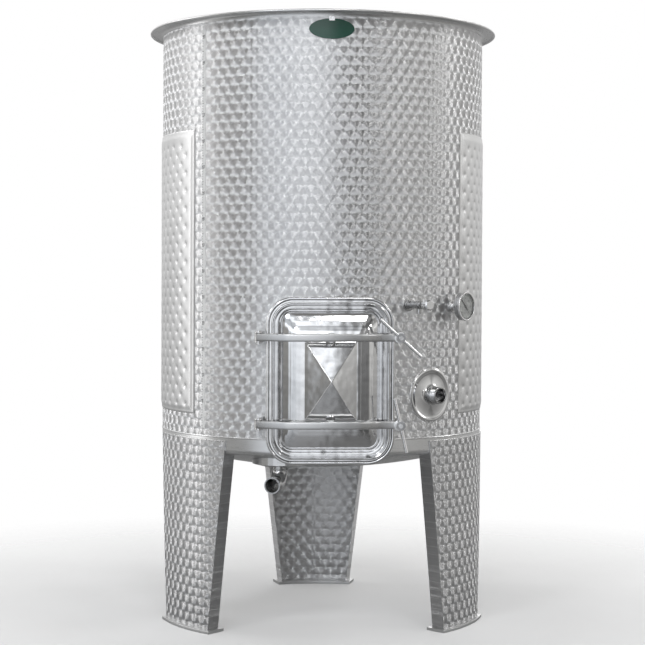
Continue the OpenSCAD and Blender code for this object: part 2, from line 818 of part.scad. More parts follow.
// Valve stem, with the plug that closes the passage behind the spout
module sample_stem() {
    color(steel) outward(sample_a, sample_z) {
        translate([0, 0, spout_y - 14]) cylinder(r = passage_r - run, h = 5, $fn = fn_mid);
        translate([0, 0, spout_y - 10]) cylinder(r = stem_r, h = stem_end - spout_y + 10, $fn = fn_mid);
    }
}

module sample_knob() {
    knob_y = 586;
    knob_l = 29;
    color(bright) outward(sample_a, sample_z) difference() {
        union() {
            translate([0, 0, knob_y]) cylinder(r1 = 9, r2 = 13, h = 6, $fn = fn_mid);
            translate([0, 0, knob_y + 6]) cylinder(r = 16, h = knob_l - 10, $fn = fn_mid);
            translate([0, 0, knob_y + knob_l - 4]) cylinder(r1 = 16, r2 = 12, h = 4, $fn = fn_mid);
        }
        translate([0, 0, knob_y - cut])
            cylinder(r = stem_r + run, h = stem_end + cut + 0.3 - knob_y, $fn = fn_mid);
        for (i = [0:7]) rotate([0, 0, i * 45]) translate([18.5, 0, knob_y - cut])
            cylinder(r = 4, h = knob_l + 2 * cut, $fn = fn_small);
    }
}

// ---------------------------------------------------------------- thermometer

well_tip = 400;
well_r = 5;
gauge_stem_r = 3;
gauge_back = 533;
gauge_front = 553;
bezel_t = 4;
dial_y = gauge_front - 8;
spindle_r = 1;
pointer_turn = 135;

module thermowell() {
    color(steel) outward(gauge_a, gauge_z) difference() {
        union() {
            translate([0, 0, well_tip]) cylinder(r = well_r, h = tank_r - well_tip, $fn = fn_mid);
            translate([0, 0, tank_r - 6]) cylinder(r = small_hole_r, h = 19, $fn = fn_mid);
            translate([0, 0, tank_r + 1.2]) cylinder(r = 17, h = 4, $fn = fn_mid);
        }
        translate([0, 0, well_tip + 3]) cylinder(r = gauge_stem_r + 0.3, h = 150, $fn = fn_mid);
    }
}

module thermometer_nut() {
    color(bright) outward(gauge_a, gauge_z) translate([0, 0, tank_r + 13.2]) difference() {
        union() {
            cylinder(r = 13.5, h = 11, $fn = 6);
            translate([0, 0, 11]) cylinder(r = 9, h = gauge_back - tank_r - 24.4, $fn = fn_mid);
        }
        translate([0, 0, -cut]) cylinder(r = gauge_stem_r + 0.3, h = 40, $fn = fn_mid);
    }
}

module thermometer_stem() {
    color(steel) outward(gauge_a, gauge_z) translate([0, 0, well_tip + 4])
        cylinder(r = gauge_stem_r, h = gauge_back - well_tip - 4.2, $fn = fn_mid);
}

module thermometer_case() {
    color(bright) outward(gauge_a, gauge_z) translate([0, 0, gauge_back]) difference() {
        cylinder(r = gauge_d / 2 - 2, h = gauge_front - gauge_back - 2, $fn = fn_mid);
        translate([0, 0, 2]) cylinder(r = gauge_d / 2 - 3.5, h = 40, $fn = fn_mid);
    }
}

module thermometer_bezel() {
    color(bright) outward(gauge_a, gauge_z) translate([0, 0, gauge_front - 6]) difference() {
        cylinder(r = gauge_d / 2, h = 6, $fn = fn_mid);
        translate([0, 0, -cut]) cylinder(r = gauge_d / 2 - 1.9, h = 5, $fn = fn_mid);
        cylinder(r = gauge_d / 2 - 5, h = 20, $fn = fn_mid);
    }
}

module thermometer_dial() {
    color("white") outward(gauge_a, gauge_z) {
        translate([0, 0, dial_y - 1]) cylinder(r = gauge_d / 2 - 3.7, h = 1, $fn = fn_mid);
        cylinder_from = gauge_back + 2.2;
        translate([0, 0, cylinder_from]) cylinder(r = 6, h = dial_y - 1 - cylinder_from, $fn = fn_mid);
        translate([0, 0, dial_y]) cylinder(r = spindle_r, h = 2.6, $fn = fn_small);
    }
}

module thermometer_pointer() {
    color([0.08, 0.08, 0.09]) outward(gauge_a, gauge_z) translate([0, 0, dial_y + 0.8])
        rotate([0, 0, pointer_turn]) difference() {
            union() {
                cylinder(r = 4, h = 1, $fn = fn_small);
                linear_extrude(1)
                    polygon([[-16, -1.6], [0, -1.8], [31, -0.5], [31, 0.5], [0, 1.8], [-16, 1.6]]);
            }
            translate([0, 0, -cut]) cylinder(r = spindle_r + run, h = 4, $fn = fn_small);
        }
}

module thermometer_glass() {
    color([0.8, 0.9, 0.95, 0.35]) outward(gauge_a, gauge_z) translate([0, 0, gauge_front - 4.2])
        cylinder(r = gauge_d / 2 - 5.2, h = 2, $fn = fn_mid);
}

shell();
rim();
bottom();
drain_sump();
drain_elbow();
left_leg();
right_leg();
rear_leg();
left_foot();
right_foot();
rear_foot();
cooling_jacket();
jacket_inlet();
jacket_outlet();
volume_scale();
badge_plate();
badge_clip();
manway_frame();
manway_gasket();
manway_lid();
upper_bar();
lower_bar();
upper_studs();
lower_studs();
upper_hinge_bracket();
lower_hinge_bracket();
upper_hinge_pin();
lower_hinge_pin();
upper_clamp_lug();
lower_clamp_lug();
upper_lug_pin();
lower_lug_pin();
upper_swing_bolt();
lower_swing_bolt();
upper_washer();
lower_washer();
upper_handle_hub();
lower_handle_hub();
upper_handle_rods();
lower_handle_rods();
racking_plate();
racking_nozzle();
sample_boss();
sample_body();
sample_stem();
sample_knob();
thermowell();
thermometer_nut();
thermometer_stem();
thermometer_case();
thermometer_bezel();
thermometer_dial();
thermometer_pointer();
thermometer_glass();
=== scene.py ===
"""Open-topped jacketed fermenting vat on three sheet legs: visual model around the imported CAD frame."""

import math

import bmesh
import bpy
import numpy as np
from mathutils import Matrix, Vector


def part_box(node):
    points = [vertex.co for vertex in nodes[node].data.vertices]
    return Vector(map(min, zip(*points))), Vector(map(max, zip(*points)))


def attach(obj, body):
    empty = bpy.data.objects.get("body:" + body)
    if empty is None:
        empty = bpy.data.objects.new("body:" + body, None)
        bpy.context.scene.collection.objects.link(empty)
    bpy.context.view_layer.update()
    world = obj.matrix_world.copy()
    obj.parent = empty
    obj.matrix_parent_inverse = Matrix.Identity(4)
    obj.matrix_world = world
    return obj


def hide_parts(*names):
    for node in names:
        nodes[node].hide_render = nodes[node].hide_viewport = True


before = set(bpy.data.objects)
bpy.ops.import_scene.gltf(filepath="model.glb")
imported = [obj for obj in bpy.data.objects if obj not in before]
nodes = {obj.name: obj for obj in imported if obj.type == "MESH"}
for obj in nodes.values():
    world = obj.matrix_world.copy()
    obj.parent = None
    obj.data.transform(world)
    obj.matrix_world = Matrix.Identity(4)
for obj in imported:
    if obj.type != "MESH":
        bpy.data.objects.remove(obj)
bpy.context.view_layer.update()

# ------------------------------------------------------------------ places, from the CAD nodes
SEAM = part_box("shell")[0].z
DOOR_Z = (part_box("manway_lid")[0].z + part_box("manway_lid")[1].z) / 2
TANK_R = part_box("shell")[1].x


def polar(angle, radius, z):
    """A point at an angle in degrees from the front, positive to the right."""
    a = math.radians(angle)
    return Vector((radius * math.sin(a), -radius * math.cos(a), z))


# ------------------------------------------------------------------ shader helper
class Nodes:
    """A node tree, with short calls for the nodes used here."""

    def __init__(self, tree):
        self.tree = tree

    def node(self, kind, **settings):
        n = self.tree.nodes.new(kind)
        for key, value in settings.items():
            setattr(n, key, value)
        return n

    def feed(self, socket, value):
        if isinstance(value, bpy.types.NodeSocket):
            self.tree.links.new(value, socket)
        elif value is not None:
            if hasattr(socket.default_value, "__len__") and not hasattr(value, "__len__"):
                value = (value,) * len(socket.default_value)
            elif hasattr(value, "__len__") and len(socket.default_value) == 4 and len(value) == 3:
                value = (*value, 1)
            socket.default_value = value

    def math(self, op, *args):
        n = self.node("ShaderNodeMath", operation=op)
        for socket, value in zip(n.inputs, args):
            self.feed(socket, value)
        return n.outputs[0]

    def vector(self, op, *args):
        n = self.node("ShaderNodeVectorMath", operation=op)
        for socket, value in zip(n.inputs, args):
            self.feed(socket, value)
        return n.outputs["Value"] if op in ("LENGTH", "DOT_PRODUCT") else n.outputs[0]

    def join(self, x, y, z):
        n = self.node("ShaderNodeCombineXYZ")
        for socket, value in zip(n.inputs, (x, y, z)):
            self.feed(socket, value)
        return n.outputs[0]

    def split(self, vector):
        n = self.node("ShaderNodeSeparateXYZ")
        self.feed(n.inputs[0], vector)
        return n.outputs

    def mix(self, factor, a, b, blend="MIX"):
        n = self.node("ShaderNodeMix", data_type="RGBA", blend_type=blend)
        self.feed(n.inputs[0], factor)
        self.feed(n.inputs[6], a)
        self.feed(n.inputs[7], b)
        return n.outputs[2]

    def choose(self, factor, a, b):
        n = self.node("ShaderNodeMix", data_type="FLOAT")
        for socket, value in zip(n.inputs[:1] + n.inputs[2:4], (factor, a, b)):
            self.feed(socket, value)
        return n.outputs[0]

    def noise(self, vector, scale, detail=2.0, rough=0.5):
        n = self.node("ShaderNodeTexNoise")
        self.feed(n.inputs["Vector"], vector)
        self.feed(n.inputs["Scale"], scale)
        self.feed(n.inputs["Detail"], detail)
        self.feed(n.inputs["Roughness"], rough)
        return n.outputs[0]

    def span(self, value, from_lo, from_hi, to_lo, to_hi, interpolation="LINEAR"):
        n = self.node("ShaderNodeMapRange", interpolation_type=interpolation)
        for socket, v in zip(n.inputs, (value, from_lo, from_hi, to_lo, to_hi)):
            self.feed(socket, v)
        return n.outputs[0]

    def ramp(self, value, stops):
        n = self.node("ShaderNodeValToRGB")
        self.feed(n.inputs[0], value)
        while len(n.color_ramp.elements) < len(stops):
            n.color_ramp.elements.new(0.5)
        for e, (place, colour) in zip(n.color_ramp.elements, stops):
            e.position = place
            e.color = (*colour, 1)
        return n.outputs[0]

    def bump(self, height, distance):
        n = self.node("ShaderNodeBump")
        self.feed(n.inputs["Height"], height)
        n.inputs["Distance"].default_value = distance
        n.inputs["Strength"].default_value = 1.0
        return n.outputs[0]


class Shade(Nodes):
    """A material with one Principled BSDF."""

    def __init__(self, name, **surface):
        self.mat = bpy.data.materials.new(name)
        self.mat.use_nodes = True
        super().__init__(self.mat.node_tree)
        self.bsdf = self.tree.nodes["Principled BSDF"]
        for key, value in surface.items():
            self.set(key.replace("_", " "), value)
        self.coord = self.node("ShaderNodeTexCoord").outputs["Object"]

    def set(self, socket, value):
        self.feed(self.bsdf.inputs[socket], value)


# ------------------------------------------------------------------ materials
PITCH, ROW, DISC = 0.0364, 0.0264, 0.0222        # of the polishing marks: across, up, and radius


def marbled(name, dull=0.72, rough=0.37):
    """Stainless sheet marked all over with overlapping round polishing marks, laid row by row from the top."""
    s = Shade(name, Metallic=1.0, Anisotropic=1.0)
    x, y, z = s.split(s.coord)
    angle = s.math("ARCTAN2", x, s.math("MULTIPLY", y, -1))
    u = s.math("MULTIPLY", angle, 0.5)

    def disc(row):
        odd = s.math("FLOORED_MODULO", row, 2.0)
        off = s.math("MULTIPLY", odd, PITCH / 2)
        shifted = s.math("SUBTRACT", u, off)
        column = s.math("ROUND", s.math("DIVIDE", shifted, PITCH))
        du = s.math("SUBTRACT", shifted, s.math("MULTIPLY", column, PITCH))
        dv = s.math("SUBTRACT", z, s.math("MULTIPLY", row, ROW))
        rho = s.math("SQRT", s.math("ADD", s.math("MULTIPLY", du, du), s.math("MULTIPLY", dv, dv)))
        return du, dv, rho, column

    low = s.math("CEIL", s.math("DIVIDE", s.math("SUBTRACT", z, DISC), ROW))
    a, b = disc(low), disc(s.math("ADD", low, 1.0))
    use_a = s.math("LESS_THAN", a[2], DISC)
    du, dv, rho, column = (s.choose(use_a, q, p) for p, q in zip(a, b))
    row = s.math("SUBTRACT", s.math("ADD", low, 1.0), use_a)

    white = s.node("ShaderNodeTexWhiteNoise", noise_dimensions="2D")
    s.feed(white.inputs["Vector"], s.join(column, row, 0.0))
    luck = white.outputs["Value"]

    # scratches run round each mark, so light spreads along its radius and shows as a bow tie
    inv = s.math("DIVIDE", 1.0, s.math("MAXIMUM", rho, 0.0004))
    tu = s.math("MULTIPLY", du, inv)
    tv = s.math("MULTIPLY", dv, inv)
    s.set("Tangent", s.join(s.math("MULTIPLY", tu, s.math("COSINE", angle)),
                            s.math("MULTIPLY", tu, s.math("SINE", angle)), tv))
    # painted highlight: each mark's rim is painted lighter, standing in for the glint at its edge
    edge = s.span(rho, DISC * 0.86, DISC * 0.97, 0.0, 1.0)
    grain_at = s.join(s.math("MULTIPLY", rho, 900.0), s.math("MULTIPLY", luck, 50.0), 0.0)
    grain = s.noise(grain_at, 1.0, 3.0, 0.6)
    blotch = s.noise(s.coord, 2.2, 3.0, 0.55)
    tone = s.math("ADD", s.span(grain, 0.3, 0.7, dull, dull + 0.10), s.span(blotch, 0.3, 0.7, -0.03, 0.03))
    tone = s.math("ADD", tone, s.math("MULTIPLY", s.math("SUBTRACT", luck, 0.5), 0.05))
    # adds the painted highlight on each mark's rim
    tone = s.math("ADD", tone, s.math("MULTIPLY", edge, 0.13))
    s.set("Base Color", s.mix(tone, (0, 0, 0), (1.0, 1.0, 1.005)))
    s.set("Roughness", s.math("ADD", s.span(grain, 0.3, 0.7, rough, rough + 0.06),
                              s.math("MULTIPLY", luck, 0.04)))
    dish = s.math("MULTIPLY", s.math("MULTIPLY", rho, rho), 1 / (DISC * DISC))
    tilt = s.math("ADD", s.math("MULTIPLY", du, s.span(luck, 0, 1, -0.004, 0.004)),
                  s.math("MULTIPLY", dv, s.span(s.split(white.outputs["Color"])[1], 0, 1, -0.004, 0.004)))
    height = s.math("ADD", s.math("MULTIPLY", dish, 0.0003), s.math("MULTIPLY", grain, 0.000012))
    height = s.math("ADD", height, tilt)
    s.set("Normal", s.bump(height, 1.0))
    return s.mat


def brushed(name, tone, rough, along, streak=1.0):
    """Steel with fine grinding lines; along = the axis they run along, or "round" for round the tank."""
    s = Shade(name, Metallic=1.0)
    x, y, z = s.split(s.coord)
    fine, long = 900.0, 12.0
    if along == "round":
        angle = s.math("ARCTAN2", x, s.math("MULTIPLY", y, -1))
        radius = s.vector("LENGTH", s.join(x, y, 0.0))
        v = s.join(s.math("MULTIPLY", angle, long * 0.5), s.math("MULTIPLY", radius, fine),
                   s.math("MULTIPLY", z, fine))
    else:
        scale = [fine, fine, fine]
        scale["xyz".index(along)] = long
        v = s.vector("MULTIPLY", s.coord, tuple(scale))
    lines = s.noise(v, 1.0, 3.0, 0.6)
    cloud = s.noise(s.coord, 9.0, 3.0, 0.6)
    t = s.math("ADD", s.span(lines, 0.3, 0.7, tone - 0.03 * streak, tone + 0.03 * streak),
               s.span(cloud, 0.3, 0.7, -0.03, 0.03))
    s.set("Base Color", s.mix(t, (0, 0, 0), (1, 1, 1)))
    s.set("Roughness", s.math("ADD", s.span(lines, 0.3, 0.7, rough - 0.05, rough + 0.07),
                              s.span(cloud, 0.3, 0.7, -0.03, 0.03)))
    s.set("Normal", s.bump(lines, 0.00002 * streak))
    return s.mat


def polished(name, tone, rough):
    """Mirror-polished steel with faint waves, haze and hairline scratches."""
    s = Shade(name, Metallic=1.0)
    haze = s.noise(s.coord, 26.0, 4.0, 0.6)
    fine = s.noise(s.vector("MULTIPLY", s.coord, (900.0, 900.0, 60.0)), 1.0, 2.0, 0.6)
    s.set("Base Color", s.mix(s.span(haze, 0.3, 0.7, tone - 0.02, tone + 0.02), (0, 0, 0), (1, 1, 1.004)))
    s.set("Roughness", s.math("ADD", s.span(haze, 0.35, 0.7, rough, rough + 0.06),
                              s.span(fine, 0.5, 0.75, 0.0, 0.05)))
    s.set("Normal", s.bump(s.noise(s.coord, 14.0, 2.0, 0.5), 0.0012))
    return s.mat


MARBLED = marbled("marbled_steel")
BAR = brushed("bar_steel", 0.58, 0.30, "x", 0.6)
SATIN = brushed("satin_steel", 0.72, 0.30, "round")
PLATE = brushed("plate_steel", 0.66, 0.38, "x", 0.6)
JACKET = brushed("jacket_steel", 0.70, 0.36, "z", 0.4)
POLISHED = polished("polished_steel", 0.72, 0.05)
TURNED = brushed("turned_steel", 0.74, 0.24, "z", 0.6)
MACHINED = polished("machined_steel", 0.80, 0.14)
FITTING = polished("fitting_steel", 0.46, 0.16)
# the legs get a darker copy of the marbled steel: painted shade for the dark low surroundings they mirror
LEG = marbled("leg_steel_painted_shade", 0.60, 0.34)


def simple(name, colour, rough, scale, bump=0.0001):
    """A plain surface with a fine speckle in its colour, gloss and height."""
    s = Shade(name, Metallic=0.0)
    speckle = 0.04
    cloud = s.noise(s.coord, scale, 4.0, 0.6)
    s.set("Base Color", s.mix(s.span(cloud, 0.3, 0.7, 0.0, 1.0), tuple(c * (1 - speckle) for c in colour),
                              tuple(c * (1 + speckle) for c in colour)))
    s.set("Roughness", s.span(cloud, 0.3, 0.7, rough * 0.85, rough * 1.15))
    s.set("Normal", s.bump(cloud, bump))
    return s.mat


RUBBER = simple("gasket_rubber", (0.10, 0.10, 0.105), 0.55, scale=220.0)
ENAMEL = simple("badge_enamel", (0.015, 0.075, 0.05), 0.22, scale=40.0)
DIAL = simple("dial_white", (0.66, 0.66, 0.64), 0.5, scale=300.0, bump=0.00002)
INK = simple("pointer_black", (0.02, 0.02, 0.022), 0.45, scale=300.0, bump=0.00002)
STRIP = simple("scale_print", (0.74, 0.74, 0.73), 0.42, scale=120.0, bump=0.00003)

glass = Shade("gauge_glass", Roughness=0.02, IOR=1.45)
glass.set("Transmission Weight", 1.0)
glass.set("Base Color", glass.mix(glass.noise(glass.coord, 8.0), (0.96, 0.98, 0.98), (1, 1, 1)))
GLASS = glass.mat

BY_NODE = {
    "shell": MARBLED, "left_leg": LEG, "right_leg": LEG, "rear_leg": LEG,
    "rim": SATIN, "bottom": SATIN, "drain_sump": SATIN,
    "left_foot": PLATE, "right_foot": PLATE, "rear_foot": PLATE,
    "cooling_jacket": JACKET, "volume_scale": STRIP, "badge_plate": ENAMEL,
    "manway_frame": POLISHED, "manway_lid": POLISHED, "manway_gasket": RUBBER,
    "upper_bar": POLISHED, "lower_bar": POLISHED, "racking_plate": POLISHED, "racking_nozzle": FITTING,
    "thermometer_dial": DIAL, "thermometer_pointer": INK, "thermometer_glass": GLASS,
    "thermometer_bezel": MACHINED, "thermometer_case": FITTING, "thermometer_nut": FITTING,
    "sample_boss": FITTING, "sample_body": FITTING, "sample_knob": MACHINED, "drain_elbow": FITTING,
    "upper_handle_rods": MACHINED, "lower_handle_rods": MACHINED, "upper_handle_hub": FITTING,
    "lower_handle_hub": FITTING, "upper_swing_bolt": MACHINED, "lower_swing_bolt": MACHINED,
}
for name, obj in nodes.items():
    material = BY_NODE.get(name, TURNED)
    for i in range(len(obj.data.materials)):
        obj.material_slots[i].material = material
    if not obj.data.materials:
        obj.data.materials.append(material)


# ------------------------------------------------------------------ mesh helpers
def outward(angle, z):
    """Local X = sideways to the right, local Y = up, local Z = distance from the tank's axis."""
    a = math.radians(angle)
    return Matrix(((math.cos(a), 0, math.sin(a), 0), (math.sin(a), 0, -math.cos(a), 0),
                   (0, 1, 0, z), (0, 0, 0, 1)))


def piece(name, verts, faces, material, slot, body="tank", place=None, sharp=35, replaces=()):
    """A mesh piece that rides a CAD body; its points are in the local frame of place."""
    mesh = bpy.data.meshes.new(name)
    mesh.from_pydata([tuple(v) for v in verts], [], faces)
    if place is not None:
        mesh.transform(place)
    bm = bmesh.new()
    bm.from_mesh(mesh)
    bmesh.ops.remove_doubles(bm, verts=bm.verts, dist=1e-6)
    bmesh.ops.recalc_face_normals(bm, faces=bm.faces)
    bm.to_mesh(mesh)
    bm.free()
    mesh.shade_smooth()
    mesh.set_sharp_from_angle(angle=math.radians(sharp))
    mesh.materials.append(material)
    obj = bpy.data.objects.new(name, mesh)
    bpy.context.scene.collection.objects.link(obj)
    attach(obj, body)
    if replaces:
        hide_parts(*replaces)
    return obj


def lathe(profile, steps=64, closed=True):
    """A surface of (radius, height) points turned about local Z."""
    verts, faces = [], []
    for i in range(steps):
        t = 2 * math.pi * i / steps
        verts += [(r * math.cos(t), r * math.sin(t), h) for r, h in profile]
    n = len(profile)
    for i in range(steps):
        for j in range(n if closed else n - 1):
            a, b = i * n + j, i * n + (j + 1) % n
            c, d = (i + 1) % steps * n + (j + 1) % n, (i + 1) % steps * n + j
            faces.append((a, b, c, d))
    return verts, faces


def loft(rings):
    """Quads between rings of the same number of points."""
    verts = [p for ring in rings for p in ring]
    n = len(rings[0])
    faces = [(k * n + i, k * n + (i + 1) % n, (k + 1) * n + (i + 1) % n, (k + 1) * n + i)
             for k in range(len(rings) - 1) for i in range(n)]
    return verts, faces


def join(*parts):
    """One list of points and one of faces, from several (verts, faces) pairs."""
    verts, faces = [], []
    for v, f in parts:
        base = len(verts)
        verts += list(v)
        faces += [tuple(base + i for i in face) for face in f]
    return verts, faces


def round_rect(half_w, half_h, corner, z, per_corner=12):
    """A rectangle's outline with round corners, at one height."""
    points = []
    for sx, sy, start in ((1, 1, 0), (-1, 1, 90), (-1, -1, 180), (1, -1, 270)):
        for i in range(per_corner + 1):
            t = math.radians(start + 90 * i / per_corner)
            points.append((sx * (half_w - corner) + corner * math.cos(t),
                           sy * (half_h - corner) + corner * math.sin(t), z))
    return points


def soften(name, width):
    """Rounds the sharp edges of a shown CAD node, with modifiers only."""
    obj = nodes[name]
    weld = obj.modifiers.new("weld", "WELD")
    weld.merge_threshold = 0.00002
    bevel = obj.modifiers.new("round", "BEVEL")
    bevel.width, bevel.segments = width, 2
    bevel.limit_method, bevel.angle_limit = "ANGLE", math.radians(35)
    bevel.harden_normals = False
    normals = obj.modifiers.new("normals", "WEIGHTED_NORMAL")
    normals.keep_sharp = False


# ------------------------------------------------------------------ cooling jacket: dimpled plate
JACKET_FROM, JACKET_TO = 52.2, 308.5             # degrees round from the front
DIMPLE_PITCH, DIMPLE_ROW = 0.052, 0.0265


def jacket():
    """A plate welded on at its edges and at staggered spots, and swollen between them."""
    lo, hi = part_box("cooling_jacket")
    cols, rows = 640, 260
    face = TANK_R + 0.0046
    arc, tall = math.radians(JACKET_TO - JACKET_FROM) * face, hi.z - lo.z
    edge, border = 0.0035, 0.022
    verts = []
    for j in range(rows + 1):
        for i in range(cols + 1):
            u, v = arc * i / cols, tall * j / rows
            inside = min(u, arc - u, v, tall - v)
            near = round(v / DIMPLE_ROW)
            sink = 0.0
            for r in (near - 1, near, near + 1):
                off = DIMPLE_PITCH / 2 * (r % 2)
                du = u - off - round((u - off) / DIMPLE_PITCH) * DIMPLE_PITCH
                spot_u, spot_v = u - du, r * DIMPLE_ROW
                if min(spot_u, arc - spot_u, spot_v, tall - spot_v) > border:
                    far2 = du * du + (v - spot_v) ** 2
                    sink += 0.0020 * math.exp(-far2 / 0.0060 ** 2) + 0.0010 * math.exp(-far2 / 0.015 ** 2)
            swell = min(1.0, max(0.0, (inside - 0.006) / (border - 0.006)))
            radius = TANK_R + 0.0022 + (face - TANK_R - 0.0022) * swell * swell * (3 - 2 * swell) - sink
            if inside < edge:
                radius = TANK_R + 0.0004 + 0.0018 * inside / edge
            verts.append(polar(JACKET_FROM + math.degrees(u / face), radius, lo.z + v))
    n = cols + 1
    faces = [(j * n + i, j * n + i + 1, (j + 1) * n + i + 1, (j + 1) * n + i)
             for j in range(rows) for i in range(cols)]
    piece("jacket_plate", verts, faces, JACKET, "jacket_steel", sharp=60, replaces=["cooling_jacket"])


jacket()

# ------------------------------------------------------------------ doorway lid
IN_LID = outward(0, DOOR_Z)
LID_HALF_W = (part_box("manway_lid")[1].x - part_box("manway_lid")[0].x) / 2
LID_HALF_H = (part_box("manway_lid")[1].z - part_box("manway_lid")[0].z) / 2
LID_BACK = 0.540                                 # this and the next are distances from the tank's axis
GROOVE = 0.5215
CROWN = 0.029                                    # how far the crown rises from the groove
CORE_W, CORE_H = 0.072, 0.1105                   # half the pyramid's width and height
CORE_RIM = 0.0012                                # the pyramid's upright edge
CORE_BASE = GROOVE + CROWN + 0.0015
APEX = CORE_BASE + 0.0395


def lid():
    """A rolled edge, a groove inside it, a crowned plate, and a low pyramid in its middle."""
    w, h = LID_HALF_W, LID_HALF_H
    bead_r, corner = 0.0034, 0.064

    def ring(inset, z):
        return round_rect(w - inset, h - inset, max(corner - inset, 0.004), z)

    rings = []
    for i in range(11):                                       # rolled edge, from its back round to its inner side
        t = math.radians(-80 + 250 * i / 10)
        rings.append(ring(bead_r - bead_r * math.cos(t), LID_BACK + bead_r + bead_r * math.sin(t)))
    for inset, z in ((0.0076, LID_BACK + 0.0018), (0.0086, LID_BACK + 0.0006), (0.0102, LID_BACK - 0.0018),
                     (0.0208, GROOVE + 0.0010), (0.0215, GROOVE), (0.0222, GROOVE + 0.0008)):
        rings.append(ring(inset, z))
    start = 0.0230                                            # the crown's inset from the lid's edge
    x0, y0, c0, z0 = w - start, h - start, corner - start, GROOVE + 0.0024
    for i in range(41):                                       # the crown, steep at the groove and flat at the core
        t = i / 40
        rise = 1 - (1 - t) ** 2.2
        wave = (0.00022 * math.sin(15 * t) + 0.00010 * math.sin(38 * t + 1)) * math.sin(math.pi * t)
        rings.append(round_rect(x0 + (CORE_W + 0.002 - x0) * t, y0 + (CORE_H + 0.002 - y0) * t,
                                c0 + (0.003 - c0) * t, z0 + (CORE_BASE - z0) * rise + wave))
    rings.append(round_rect(CORE_W, CORE_H, 0.0025, CORE_BASE + CORE_RIM))
    verts, faces = loft(rings)
    n = len(rings[0])
    base = (len(rings) - 1) * n
    small = [(p[0] * 0.012, p[1] * 0.012, APEX) for p in rings[-1]]
    steps = 8
    for k in range(1, steps + 1):
        t = k / steps
        verts += [(p[0] * (1 - t) + q[0] * t, p[1] * (1 - t) + q[1] * t, p[2] * (1 - t) + q[2] * t)
                  for p, q in zip(rings[-1], small)]
        a, b = base + (k - 1) * n, base + k * n
        faces += [(a + i, a + (i + 1) % n, b + (i + 1) % n, b + i) for i in range(n)]
    faces.append(tuple(range(base + steps * n, base + (steps + 1) * n)))
    obj = piece("lid_pan", verts, faces, POLISHED, "polished_steel", "door", IN_LID, sharp=22,
                replaces=["manway_lid"])
    solid = obj.modifiers.new("sheet", "SOLIDIFY")
    solid.thickness, solid.offset = 0.002, -1


lid()


def lid_ridges():
    """Rounded folds along the pyramid's four ridges, and a small cap where they meet."""
    parts = []
    for sx in (-1, 1):
        for sy in (-1, 1):
            start = Vector((sx * CORE_W, sy * CORE_H, CORE_BASE + CORE_RIM))
            end = Vector((sx * 0.0008, sy * 0.0013, APEX))
            along = (end - start).normalized()
            side = along.cross(Vector((0, 0, 1))).normalized()
            other = along.cross(side)
            ring = [(side * math.cos(t) + other * math.sin(t)) * 0.0011
                    for t in (math.pi * k / 5 for k in range(10))]
            parts.append(loft([[start + p for p in ring], [end + p for p in ring]]))
    cap = [(0.0, APEX + 0.0016), (0.0016, APEX + 0.0011), (0.0024, APEX - 0.0004), (0.0026, APEX - 0.002)]
    parts.append(lathe(cap, 20, closed=False))
    piece("lid_ridges", *join(*parts), MACHINED, "polished_steel", "door", IN_LID)


lid_ridges()

# ------------------------------------------------------------------ bosses under the bars, as (radius, distance)
BAR_Z = [(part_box(n)[0].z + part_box(n)[1].z) / 2 - DOOR_Z for n in ("upper_bar", "lower_bar")]
STUD_X = 0.106
STUD_BOSS = [(0.0, 0.5555), (0.0105, 0.5555), (0.0112, 0.5545), (0.0130, 0.5400), (0.0130, 0.5150), (0.0, 0.5150)]
MID_BOSS = [(0.0, 0.5735), (0.0135, 0.5735), (0.0145, 0.5725), (0.0145, 0.5665), (0.0135, 0.5655), (0.0, 0.5655)]
for label, bar_z in zip(("upper", "lower"), BAR_Z):
    bosses = []
    for x, profile, steps in ((-STUD_X, STUD_BOSS, 32), (STUD_X, STUD_BOSS, 32), (0, MID_BOSS, 40)):
        v, f = lathe(profile, steps, closed=False)
        bosses.append(([(p[0] + x, p[1] + bar_z, p[2]) for p in v], f))
    piece(label + "_lid_bosses", *join(*bosses), MACHINED, "turned_steel", "door", IN_LID)

# ------------------------------------------------------------------ bars, with rounded sections
BAR_PATH = [(-0.208, 0.537), (-0.128, 0.579), (0.086, 0.579), (0.140, 0.556), (0.187, 0.556)]
BAR_H, BAR_T, PRONG_END, EYE_X, EYE_Z = 0.022, 0.012, 0.203, -0.204, 0.530


def oval(half_y, half_z, power, steps=28):
    """Points of a superellipse section, y up the bar's face and z through its thickness."""
    points = []
    for i in range(steps):
        t = 2 * math.pi * i / steps
        c, s = math.cos(t), math.sin(t)
        points.append((half_y * math.copysign(abs(c) ** (2 / power), c),
                       half_z * math.copysign(abs(s) ** (2 / power), s)))
    return points


def sweep(path, section, shift=0.0):
    """The section carried along a path of (x, z) points, with mitred bends and closed ends."""
    rings = []
    for i, (x, z) in enumerate(path):
        dirs = [Vector((path[k + 1][0] - path[k][0], path[k + 1][1] - path[k][1])).normalized()
                for k in (i - 1, i) if 0 <= k < len(path) - 1]
        normal = sum((Vector((-d.y, d.x)) for d in dirs), Vector((0, 0))).normalized()
        reach = 1 / normal.dot(Vector((-dirs[0].y, dirs[0].x)))
        rings.append([(x + normal.x * reach * z_, y_ + shift, z + normal.y * reach * z_) for y_, z_ in section])
    verts, faces = loft(rings)
    n, last = len(section), (len(rings) - 1) * len(section)
    return verts, faces + [tuple(range(n)), tuple(range(last, last + n))]


def split_bends(path, bend=0.004):
    """The path with each bend split into two nearby ones, so that it shows as a small radius."""
    points = [path[0]]
    for k in range(1, len(path) - 1):
        here = Vector(path[k])
        for other in (path[k - 1], path[k + 1]):
            points.append(tuple(here + (Vector(other) - here).normalized() * bend))
    return points + [path[-1]]


